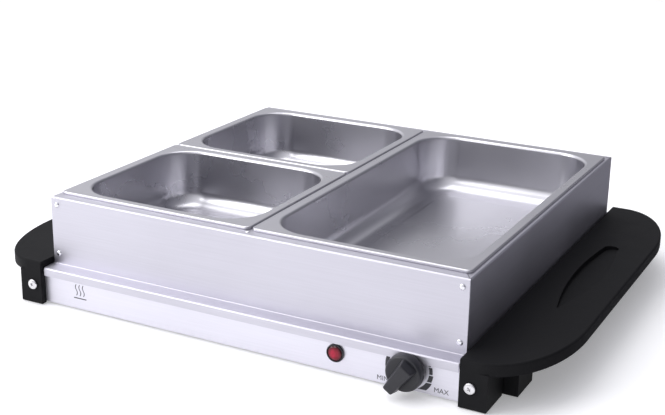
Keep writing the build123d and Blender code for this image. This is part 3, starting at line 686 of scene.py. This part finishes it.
put("lamp_bezel_ring", to_panel(bezel, LAMP_X, PANEL_Y, LAMP_Z), "tray", "knob_plastic", knob_plastic,
    "lamp_bezel")

# Painted shade: the red is darkened towards the rim, beside the bezel, between these distances from a point
# inside the lens.
RED_CLEAR = (0.22, 0.003, 0.015)
RED_BRIGHT = (0.44, 0.012, 0.045)
RIM_SHADE_RED = (0.030, 0.001, 0.004)
RIM_SHADE = (0.0028, 0.0068)
lamp_red, red = new_material("lamp_red")
red_nodes = lamp_red.node_tree.nodes
red_links = lamp_red.node_tree.links
red_place = red_nodes.new("ShaderNodeTexCoord")
red_depth = place_group(lamp_red, FINE_GRAIN)
red_depth.inputs["Mark Scale"].default_value = 260.0
from_axis = red_nodes.new("ShaderNodeVectorMath")
from_axis.operation = "DISTANCE"
from_axis.inputs[1].default_value = (LAMP_X, PANEL_Y - 0.0030, LAMP_Z)
red_links.new(red_place.outputs["Object"], from_axis.inputs[0])
deep = tinted(lamp_red, ranged(lamp_red, red_depth.outputs["Marks"], 0, 1), RED_CLEAR, RED_BRIGHT)
# Painted shade on the lens, darker towards its rim.
shaded = tinted(lamp_red, ranged(lamp_red, from_axis.outputs["Value"], 0, 1, *RIM_SHADE), RED_CLEAR, RIM_SHADE_RED)
red_links.new(deep, shaded.node.inputs["A"])  # in place of the plain clear red
red_links.new(shaded, red.inputs["Base Color"])
red_links.new(ranged(lamp_red, red_depth.outputs["Marks"], 0.06, 0.16), red.inputs["Roughness"])
red.inputs["Specular IOR Level"].default_value = 0.35

FACETS = 12
lens = bmesh.new()
# Radius and height of each ring of corners, and its turn as a share of a facet.
lens_rings = [(LENS_RADIUS, LENS_SEAT, 0.0), (LENS_RADIUS, 0.0016, 0.0), (0.0062, 0.0026, 0.5)]
lens_rings += [(0.0044, 0.0031, 0.0), (0.0022, 0.0034, 0.5)]
lens_verts = [round_ring(lens, radius, height, FACETS, shift) for radius, height, shift in lens_rings]
for ring, (lower, upper) in enumerate(zip(lens_verts, lens_verts[1:])):
    shifted = lens_rings[ring + 1][2] - lens_rings[ring][2]
    for k in range(FACETS):
        after = (k + 1) % FACETS
        if shifted > 0:
            lens.faces.new((lower[k], lower[after], upper[k]))
            lens.faces.new((lower[after], upper[after], upper[k]))
        elif shifted < 0:
            lens.faces.new((lower[k], upper[after], upper[k]))
            lens.faces.new((lower[k], lower[after], upper[after]))
        else:
            lens.faces.new((lower[k], lower[after], upper[after], upper[k]))
lens.faces.new(reversed(lens_verts[0]))
lens.faces.new(lens_verts[-1])
bmesh.ops.recalc_face_normals(lens, faces=lens.faces)
put("faceted_lens", to_panel(mesh_from(lens, "faceted_lens"), LAMP_X, PANEL_Y, LAMP_Z), "tray", "lamp_red",
    lamp_red, "lamp_lens", sharp=4.0)


# ----------------------------------------
# Dial: a black moulded knob pushed on the thermostat's spindle, with a thick skirt and a tapering
# grip bar that points at the setting.
POINTER = math.radians(235.0)
KNOB_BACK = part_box("control_knob")[1].y
SKIRT_RADIUS = 0.0168
SKIRT_THICK = 0.0095
GRIP_TALL = 0.0095
SPINDLE_BORE = 0.00305


def skirt():
    """The turned skirt, hollow for the spindle, with its back on z = 0."""
    edge = 0.0022
    side = SKIRT_RADIUS - 0.0004
    profile = [(SPINDLE_BORE, 0.0), (SKIRT_RADIUS - 0.0012, 0.0), (SKIRT_RADIUS - 0.0003, 0.0006)]
    profile += [(SKIRT_RADIUS, 0.0016), (SKIRT_RADIUS - 0.0002, SKIRT_THICK - edge - 0.0004)]
    profile += arc_points((side - edge, SKIRT_THICK - edge), edge, 5, 90, 6)
    profile += [(SKIRT_RADIUS - 0.0040, SKIRT_THICK - 0.0004), (SPINDLE_BORE, SKIRT_THICK - 0.0006)]
    return lathe(profile, 72, closed=True)


def rounded_outline(corners, radius, steps):
    """An outline with each corner replaced by a curve of about the given radius."""
    points = []
    count = len(corners)
    for k, corner in enumerate(corners):
        here = Vector(corner)
        before = (Vector(corners[k - 1]) - here).normalized()
        after = (Vector(corners[(k + 1) % count]) - here).normalized()
        half = math.acos(max(-1.0, min(1.0, before.dot(after)))) / 2
        cut = radius / math.tan(half)
        first = here + before * cut
        last = here + after * cut
        for s in range(steps + 1):
            t = s / steps
            points.append(first * (1 - t) ** 2 + here * 2 * t * (1 - t) + last * t ** 2)
    return points


GRIP_CORNERS = [(-0.0130, -0.0084), (0.0186, -0.0060), (0.0186, 0.0060), (-0.0130, 0.0084)]
GRIP_LONG = 0.0175  # half the bar's length and width, which an inset is a share of
GRIP_WIDE = 0.0068
CROWN = 0.0015
grip_base = rounded_outline(GRIP_CORNERS, 0.0022, 6)
grip = skirt()
# Height and inset of each ring, from inside the skirt up the sides and over the rounded crown.
grip_levels = [(SKIRT_THICK - 0.0009, 0.0), (SKIRT_THICK + 0.0012, 0.0004), (SKIRT_THICK + 0.0065, 0.0012)]
for k in range(6):
    turn = math.radians(15 + 15 * k)
    level = SKIRT_THICK + GRIP_TALL - CROWN + CROWN * math.sin(turn)
    grip_levels.append((level, 0.0014 + CROWN * (1 - math.cos(turn))))
grip_rings = []
middle = sum(grip_base, Vector((0, 0))) / len(grip_base)
for level, inset in grip_levels:
    ring = []
    for point in grip_base:
        away = point - middle
        shrunk = Vector((away.x * (1 - inset / GRIP_LONG), away.y * (1 - inset / GRIP_WIDE))) + middle
        ring.append(grip.verts.new((shrunk.x, shrunk.y, level)))
    grip_rings.append(ring)
join_rings(grip, grip_rings)
bmesh.ops.recalc_face_normals(grip, faces=grip.faces)
knob_mesh = mesh_from(grip, "dial_knob")
knob_mesh.transform(Matrix.Rotation(POINTER, 4, "Z"))
put("dial_knob", to_panel(knob_mesh, DIAL_X, KNOB_BACK, DIAL_Z), "dial", "knob_plastic", knob_plastic,
    "control_knob", sharp=50.0)


# ----------------------------------------
# Frame: front and rear pressings of satin sheet steel. Each is bent from one strip: a lip and a
# ledge at the foot, a tall wall, a flange on top and a hem turned down inside the opening.
FRAME_DARK = (0.54, 0.53, 0.585)
FRAME_LIGHT = (0.60, 0.59, 0.65)
frame_steel = sheet_steel("frame_steel", FRAME_DARK, FRAME_LIGHT, (0.40, 0.46), LONG_GRAIN, 8.0, 0.05, 0.008)
side_steel = sheet_steel("frame_side_steel", FRAME_DARK, FRAME_LIGHT, (0.40, 0.46), (700.0, 12.0, 700.0),
                         8.0, 0.05, 0.008)
SHEET = 0.0008
BEND = 0.0014  # radius of a bend at the middle of the sheet
front_low, front_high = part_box("frame_front")
side_low, side_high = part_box("frame_right")
FRAME_X = front_high.x
FRAME_Y = side_high.y - TRAY_Y + SHEET + 0.0001
FRAME_TOP = front_high.z
FRAME_BASE = side_low.z
OPENING_Y = TRAY_Y - front_high.y
OPENING_X = 0.2055
LIP_Y = TRAY_Y - front_low.y
LIP_BOTTOM = front_low.z
HEM_BOTTOM = FRAME_TOP - 0.0065
NOTCH_HALF = 0.0075  # the hem is notched where a rail ends
NO_NOTCH = 0.0005


def bent_strip(corners, radius, steps=4):
    """A strip's section with a round bend at each inner corner."""
    points = [Vector(corners[0])]
    for before, corner, after in zip(corners, corners[1:], corners[2:]):
        here = Vector(corner)
        back = (Vector(before) - here).normalized()
        ahead = (Vector(after) - here).normalized()
        half = back.angle(ahead) / 2
        cut = radius / math.tan(half)
        centre = here + (back + ahead).normalized() * (radius / math.sin(half))
        first = here + back * cut - centre
        last = here + ahead * cut - centre
        sweep = first.angle(last)
        for s in range(steps + 1):
            t = s / steps
            mix = first * math.sin((1 - t) * sweep) + last * math.sin(t * sweep)
            points.append(centre + mix / math.sin(sweep))
    points.append(Vector(corners[-1]))
    return points


def solid_sheet(name, bm, body, slot, material, *nodes, thick=SHEET):
    """A folded surface given the thickness of its sheet, half to each side."""
    loose = [vert for vert in bm.verts if not vert.link_faces]
    bmesh.ops.delete(bm, geom=loose, context="VERTS")
    bmesh.ops.recalc_face_normals(bm, faces=bm.faces)
    piece = put(name, mesh_from(bm, name), body, slot, material, *nodes, sharp=50.0)
    wall = piece.modifiers.new("sheet_thickness", "SOLIDIFY")
    wall.thickness = thick
    wall.offset = 0.0
    wall.use_even_offset = True
    return even_normals(piece)


def join_rows(bm, rows, notch_from=None):
    """Quads between rows of points; from one row on, the middle column can be left open."""
    for k, (lower, upper) in enumerate(zip(rows, rows[1:])):
        for column in range(len(lower) - 1):
            if column == 1 and notch_from is not None and k >= notch_from:
                continue
            bm.faces.new((lower[column], lower[column + 1], upper[column + 1], upper[column]))


def mitre(y):
    """Half the length of the top flange at a distance from the middle of the frame."""
    part = (FRAME_Y - y) / (FRAME_Y - OPENING_Y)
    return FRAME_X - part * (FRAME_X - OPENING_X)


def end_pressing(name, node, end):
    """The front (-1) or rear (+1) pressing."""
    half = SHEET / 2
    section = bent_strip([
        (LIP_Y - half, LIP_BOTTOM), (LIP_Y - half, FRAME_BASE + half), (FRAME_Y - half, FRAME_BASE + half),
        (FRAME_Y - half, FRAME_TOP - half), (OPENING_Y + half, FRAME_TOP - half),
        (OPENING_Y + half, HEM_BOTTOM),
    ], BEND)
    hem_start = len(section) - 3
    bm = bmesh.new()
    rows = []
    for k, (y, z) in enumerate(section):
        reach = FRAME_X
        if z > FRAME_TOP - 2 * SHEET and y < FRAME_Y - 2 * SHEET:
            reach = mitre(y) - 0.0002
        if k >= hem_start:
            reach = OPENING_X - 0.0010
        columns = (-reach, -NOTCH_HALF, NOTCH_HALF, reach)
        rows.append([bm.verts.new((x, TRAY_Y + end * y, z)) for x in columns])
    join_rows(bm, rows, hem_start - 1)
    return solid_sheet(name, bm, "frame", "frame_steel", frame_steel, node)


end_pressing("front_pressing", "frame_front", -1)
end_pressing("rear_pressing", "frame_rear", 1)

# Side pressings: a tall wall between the end pressings with a foot return, a mitred flange on top, a
# hem inside the opening and a tab at each end, which the corner rivets hold to the front and rear.
SIDE_END = FRAME_Y - SHEET - 0.0001
TAB_REACH = 0.198
TAB_BOTTOM = 0.044
TAB_TOP = 0.104
FOOT_REACH = 0.208


def side_pressing(name, node, side, notch):
    """The left (-1) or right (+1) pressing."""
    half = SHEET / 2
    wall_x = FRAME_X - half
    section = bent_strip([
        (FOOT_REACH, FRAME_BASE + half), (wall_x, FRAME_BASE + half), (wall_x, FRAME_TOP - half),
        (OPENING_X + half, FRAME_TOP - half), (OPENING_X + half, HEM_BOTTOM),
    ], BEND)
    top_bend = next(k for k, point in enumerate(section) if point.y > FRAME_TOP - 2 * BEND)
    section[top_bend:top_bend] = [Vector((wall_x, TAB_BOTTOM)), Vector((wall_x, TAB_TOP))]
    hem_start = len(section) - 3
    bm = bmesh.new()
    rows = []
    for k, (x, z) in enumerate(section):
        reach = SIDE_END
        if z < FRAME_BASE + 2 * SHEET and x < FRAME_X - 2 * SHEET:
            reach = SIDE_END - 0.0010
        if z > FRAME_TOP - 2 * SHEET and x < FRAME_X - 2 * SHEET:
            part = (FRAME_X - x) / (FRAME_X - OPENING_X)
            reach = SIDE_END - part * (SIDE_END - OPENING_Y) - 0.0003
        if k >= hem_start:
            reach = OPENING_Y - 0.0020
        if abs(x - wall_x) < half / 4 and TAB_BOTTOM - half < z < TAB_TOP + half:
            reach = SIDE_END - BEND - half
        rows.append([bm.verts.new((side * x, TRAY_Y + y, z)) for y in (-reach, -notch, notch, reach)])
    join_rows(bm, rows, hem_start - 1 if notch > NO_NOTCH else None)
    tab_rows = [row for row in rows if abs(abs(row[0].co.x) - wall_x) < half / 4
                and TAB_BOTTOM - half < row[0].co.z < TAB_TOP + half]
    for end, column in ((-1, 0), (1, 3)):
        strips = []
        for row in tab_rows:
            z = row[0].co.z
            strip = [row[column]]
            for s in range(1, 6):
                turn = math.radians(18 * s)
                x = wall_x - BEND * (1 - math.cos(turn))
                y = SIDE_END - BEND - half + BEND * math.sin(turn)
                strip.append(bm.verts.new((side * x, TRAY_Y + end * y, z)))
            strip.append(bm.verts.new((side * TAB_REACH, TRAY_Y + end * (SIDE_END - half), z)))
            strips.append(strip)
        join_rows(bm, strips)
    return solid_sheet(name, bm, "frame", "frame_steel", side_steel, node)


side_pressing("right_pressing", "frame_right", 1, NO_NOTCH)
side_pressing("left_pressing", "frame_left", -1, NOTCH_HALF)


# ----------------------------------------
# Rails: inverted channels of the same sheet. The long one runs from front to rear with riveted
# lugs, the short one crosses the left bay and carries the two small pans between them.
RAIL_HALF = 0.0065
RAIL_DEPTH = 0.0130
RAIL_BEND = 0.0012
LUG_HALF = 0.005


def channel(bm, start, end, along_x):
    """An inverted channel between two ends, with its legs down."""
    half = SHEET / 2
    section = bent_strip([
        (-RAIL_HALF + half, FRAME_TOP - RAIL_DEPTH), (-RAIL_HALF + half, FRAME_TOP - half),
        (RAIL_HALF - half, FRAME_TOP - half), (RAIL_HALF - half, FRAME_TOP - RAIL_DEPTH),
    ], RAIL_BEND)
    rows = []
    for across, z in section:
        row = []
        for along in (start, end):
            place = (along, TRAY_Y + across, z) if along_x else (across, TRAY_Y + along, z)
            row.append(bm.verts.new(place))
        rows.append(row)
    join_rows(bm, rows)


def lug(bm, x0, x1, y0, y1):
    """A flat tongue under the flange, as one sheet."""
    z = FRAME_TOP - 1.5 * SHEET
    bm.faces.new([bm.verts.new((x, TRAY_Y + y, z)) for x, y in ((x0, y0), (x1, y0), (x1, y1), (x0, y1))])


RAIL_END = OPENING_Y - 0.0002
rail = bmesh.new()
channel(rail, -RAIL_END, RAIL_END, False)
for end in (-1, 1):
    lug(rail, -LUG_HALF, LUG_HALF, *sorted((end * 0.180, end * 0.204)))
solid_sheet("centre_channel", rail, "frame", "frame_steel", side_steel, "centre_rail")
cross = bmesh.new()
channel(cross, -OPENING_X + 0.0002, -RAIL_HALF - 0.0001, True)
lug(cross, -0.214, -0.195, -LUG_HALF, LUG_HALF)
solid_sheet("cross_channel", cross, "frame", "frame_steel", frame_steel, "cross_rail")

# Rivets: bright domed heads at the corners of the frame and low ones on the centre rail, set cold.
rivet_steel = moulded("rivet_steel", (0.70, 0.70, 0.74), (0.84, 0.84, 0.88), (0.12, 0.22),
                      1200.0, 200.0, 0.03, 1.0)
RIVET_RADIUS = 0.0029
RIVET_HEIGHT = 0.0015
RIVET_EDGE = 0.0002
dome = [(0, 0), (RIVET_RADIUS, 0), (RIVET_RADIUS, RIVET_EDGE)]
for k in range(1, 7):
    turn = math.radians(15 * k)
    dome.append((RIVET_RADIUS * math.cos(turn), RIVET_EDGE + (RIVET_HEIGHT - RIVET_EDGE) * math.sin(turn)))
dome[-1] = (0, RIVET_HEIGHT)
rivet_low, rivet_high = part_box("corner_rivets")
rivet_points = []
for side in (-1, 1):
    x = side * (rivet_high.x - RIVET_RADIUS)
    for z in (rivet_low.z + RIVET_RADIUS, rivet_high.z - RIVET_RADIUS):
        rivet_points.append(((x, TRAY_Y - FRAME_Y, z), (FACE_FRONT, 0, 0)))
        rivet_points.append(((x, TRAY_Y + FRAME_Y, z), (FACE_REAR, 0, 0)))
fasteners("corner_rivet_heads", mesh_from(lathe(dome, 32), "rivet_dome"), rivet_points, "frame",
          "rivet_steel", rivet_steel, "corner_rivets", sharp=60.0)
RAIL_RIVET_SIZE = (0.82, 0.82, 0.53)
RAIL_RIVET_RADIUS = 0.0024
rail_low, rail_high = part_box("rail_rivets")
rail_ends = (rail_low.y + RAIL_RIVET_RADIUS, rail_high.y - RAIL_RIVET_RADIUS)
rail_points = [((0, y, FRAME_TOP), (0, 0, 0)) for y in rail_ends]
fasteners("rail_rivet_heads", mesh_from(lathe(dome, 32), "rail_dome"), rail_points, "frame",
          "rivet_steel", rivet_steel, "rail_rivets", size=RAIL_RIVET_SIZE, sharp=60.0)


# ----------------------------------------
# Pans: deep-drawn and polished stainless steel. A flat rim with a rolled edge, a rounded mouth,
# drafted walls, a large rounded foot and a shallow panel pressed up in the floor.
pan_steel = sheet_steel("pan_steel", (0.555, 0.55, 0.585), (0.585, 0.58, 0.615), (0.26, 0.30),
                        (10.0, 10.0, 10.0), 6.0, 0.0, 0.0)
PAN_DRAFT = math.radians(4.0)
MOUTH = 0.0100  # from the rim's edge to the wall, under the rim
MOUTH_CORNER = 0.0480  # from the rim's edge to the centre of the corner bend
MOUTH_BEND = 0.0024
FOOT_RADIUS = 0.0195
RIM_CORNER = 0.0050
RIM_DROP = 0.0003  # the flat of the rim lies this much under its rolled edge
ROLL_RADIUS = 0.0014
FLOOR_PANEL = 0.0065  # from the foot's bend to the edge of the floor panel
FLOOR_SLOPE = 0.0050
FLOOR_RISE = 0.0008
DRAFTED = 90 - 4  # what an arc between a level face and a drafted wall turns through, in degrees


def skin(top, bottom, offset):
    """Inset and height of one skin, from the mouth's bend down to the middle of the floor."""
    stations = []
    bend = MOUTH_BEND + offset
    for k in range(7):
        turn = math.radians(90 - k * DRAFTED / 6)
        stations.append((MOUTH + offset - bend + bend * math.cos(turn), top - bend + bend * math.sin(turn)))
    wall_inset, wall_top = stations[-1]
    radius = FOOT_RADIUS - offset
    centre_z = bottom + radius
    centre_inset = wall_inset + (wall_top - centre_z) * math.tan(PAN_DRAFT) + radius
    for k in range(13):
        turn = math.radians(90 - DRAFTED + k * DRAFTED / 12)
        stations.append((centre_inset - radius * math.cos(turn), centre_z - radius * math.sin(turn)))
    for part in (0.0, 0.25, 0.5, 0.75, 1.0):
        ease = part * part * (3 - 2 * part)
        stations.append((centre_inset + FLOOR_PANEL + part * FLOOR_SLOPE, bottom + ease * FLOOR_RISE))
    return stations


def pan(name, node, body):
    """One pan: rings of its outer skin, the rolled edge and the inner skin, joined to a closed shell."""
    low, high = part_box(node)
    top = high.z
    flat = top - RIM_DROP
    outer = [(inset, height, False) for inset, height in reversed(skin(flat - SHEET, low.z, 0.0))]
    # The edge: under the rim, round its turned-down lip, which rests on the frame, and over the roll.
    edge = [(0.0034, flat - SHEET, True), (0.0022, flat - SHEET + 0.0001, True), (0.0014, top - 0.0012, True)]
    edge += [(0.0011, top - 0.0026, True), (0.0010, FRAME_TOP + 0.0001, True), (0.0004, FRAME_TOP, True)]
    edge += [(0.0000, FRAME_TOP + 0.0004, True)]
    for k in range(7):
        turn = math.radians(k * 15)
        across = ROLL_RADIUS * (1 - math.cos(turn))
        edge.append((across, top - ROLL_RADIUS + ROLL_RADIUS * math.sin(turn), True))
    edge += [(0.0022, top - 0.00008, True), (0.0032, flat, True)]
    inner = [(inset, height, False) for inset, height in skin(flat, low.z + SHEET, SHEET)]
    bm = bmesh.new()
    rings = []
    for inset, height, at_rim in outer + edge + inner:
        corner = max(RIM_CORNER - inset, 0.0015) if at_rim else max(MOUTH_CORNER - inset, 0.004)
        x0, x1 = low.x + inset, high.x - inset
        y0, y1 = low.y + inset, high.y - inset
        ring = []
        quarters = ((x1 - corner, y1 - corner, 0), (x0 + corner, y1 - corner, 90))
        quarters += ((x0 + corner, y0 + corner, 180), (x1 - corner, y0 + corner, 270))
        for x, y, start in quarters:
            for k in range(11):
                turn = math.radians(start + 9 * k)
                ring.append(bm.verts.new((x + corner * math.cos(turn), y + corner * math.sin(turn), height)))
        rings.append(ring)
    join_rings(bm, rings)
    bmesh.ops.recalc_face_normals(bm, faces=bm.faces)
    return even_normals(put(name, mesh_from(bm, name), body, "pan_steel", pan_steel, node, sharp=60.0))


pan("large_drawn_pan", "large_pan", "large_pan_body")
pan("front_drawn_pan", "front_small_pan", "front_pan_body")
pan("rear_drawn_pan", "rear_small_pan", "rear_pan_body")


# ----------------------------------------
# Underside and inside: the base sheet, feet, supply and heater parts keep their CAD shapes. Each
# gets the finish of the stuff it is made of.
def finish_nodes(material, *nodes):
    """Give CAD nodes their finish."""
    for node in nodes:
        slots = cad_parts[node].data.materials
        slots.clear()
        slots.append(material)


base_steel = sheet_steel("base_sheet_steel", (0.42, 0.43, 0.45), (0.60, 0.61, 0.63), (0.36, 0.52),
                         (40.0, 40.0, 40.0), 45.0, 0.05, 0.02)
aluminium = sheet_steel("heater_aluminium", (0.72, 0.72, 0.74), (0.82, 0.82, 0.84), (0.30, 0.42),
                        LONG_GRAIN, 12.0, 0.10, 0.02)
finish_nodes(base_steel, "bottom_cover", "cover_brackets", "element_clamps", "fuse_clip", "lamp_clip")
finish_nodes(aluminium, "heat_spreader", "reflector_plate")
finish_nodes(screw_steel, "handle_nuts", "element_terminals", "clamp_screws", "heater_studs", "heater_nuts")
finish_nodes(handle_plastic, "cord_gland", "gland_nut")

# What moulded() takes for each other finish, and the nodes that have it.
INNER_FINISHES = (
    ("element_sheath", (0.20, 0.18, 0.17), (0.36, 0.33, 0.31), (0.45, 0.6), 900.0, 40.0, 0.1, 0.9,
     ["heating_element"]),
    ("fuse_metal", (0.62, 0.62, 0.64), (0.74, 0.74, 0.76), (0.28, 0.4), 1200.0, 90.0, 0.05, 1.0,
     ["thermal_fuse"]),
    ("terminal_brass", (0.68, 0.50, 0.22), (0.80, 0.64, 0.34), (0.25, 0.4), 900.0, 120.0, 0.05, 1.0,
     ["thermostat_nut", "thermostat_tabs", "thermostat_spindle", "terminal_screws", "earth_screw"]),
    ("foot_rubber", (0.012, 0.012, 0.012), (0.024, 0.024, 0.024), (0.7, 0.85), 1300.0, 90.0, 0.3,
     ["rubber_feet"]),
    ("mineral_board", (0.68, 0.65, 0.58), (0.82, 0.80, 0.73), (0.85, 0.95), 500.0, 60.0, 0.5,
     ["insulation_board"]),
    ("thermostat_ceramic", (0.76, 0.74, 0.67), (0.87, 0.85, 0.79), (0.55, 0.7), 1100.0, 70.0, 0.2,
     ["thermostat_body", "terminal_block"]),
    ("lead_sleeve_brown", (0.20, 0.10, 0.05), (0.33, 0.17, 0.09), (0.6, 0.8), 1600.0, 300.0, 0.4,
     ["live_lead", "switched_lead"]),
    ("lead_sleeve_blue", (0.05, 0.12, 0.36), (0.11, 0.20, 0.52), (0.6, 0.8), 1600.0, 300.0, 0.4,
     ["neutral_lead", "lamp_leads"]),
)
for *recipe, nodes in INNER_FINISHES:
    finish_nodes(moulded(*recipe), *nodes)

bulb_glass, glass = new_material("bulb_glass")
glass.inputs["Base Color"].default_value = (0.95, 0.92, 0.88, 1)
glass.inputs["Transmission Weight"].default_value = 1.0
glass_marks = place_group(bulb_glass, FINE_GRAIN)
bulb_glass.node_tree.links.new(
    ranged(bulb_glass, glass_marks.outputs["Marks"], 0.02, 0.08), glass.inputs["Roughness"])
finish_nodes(bulb_glass, "lamp_bulb")
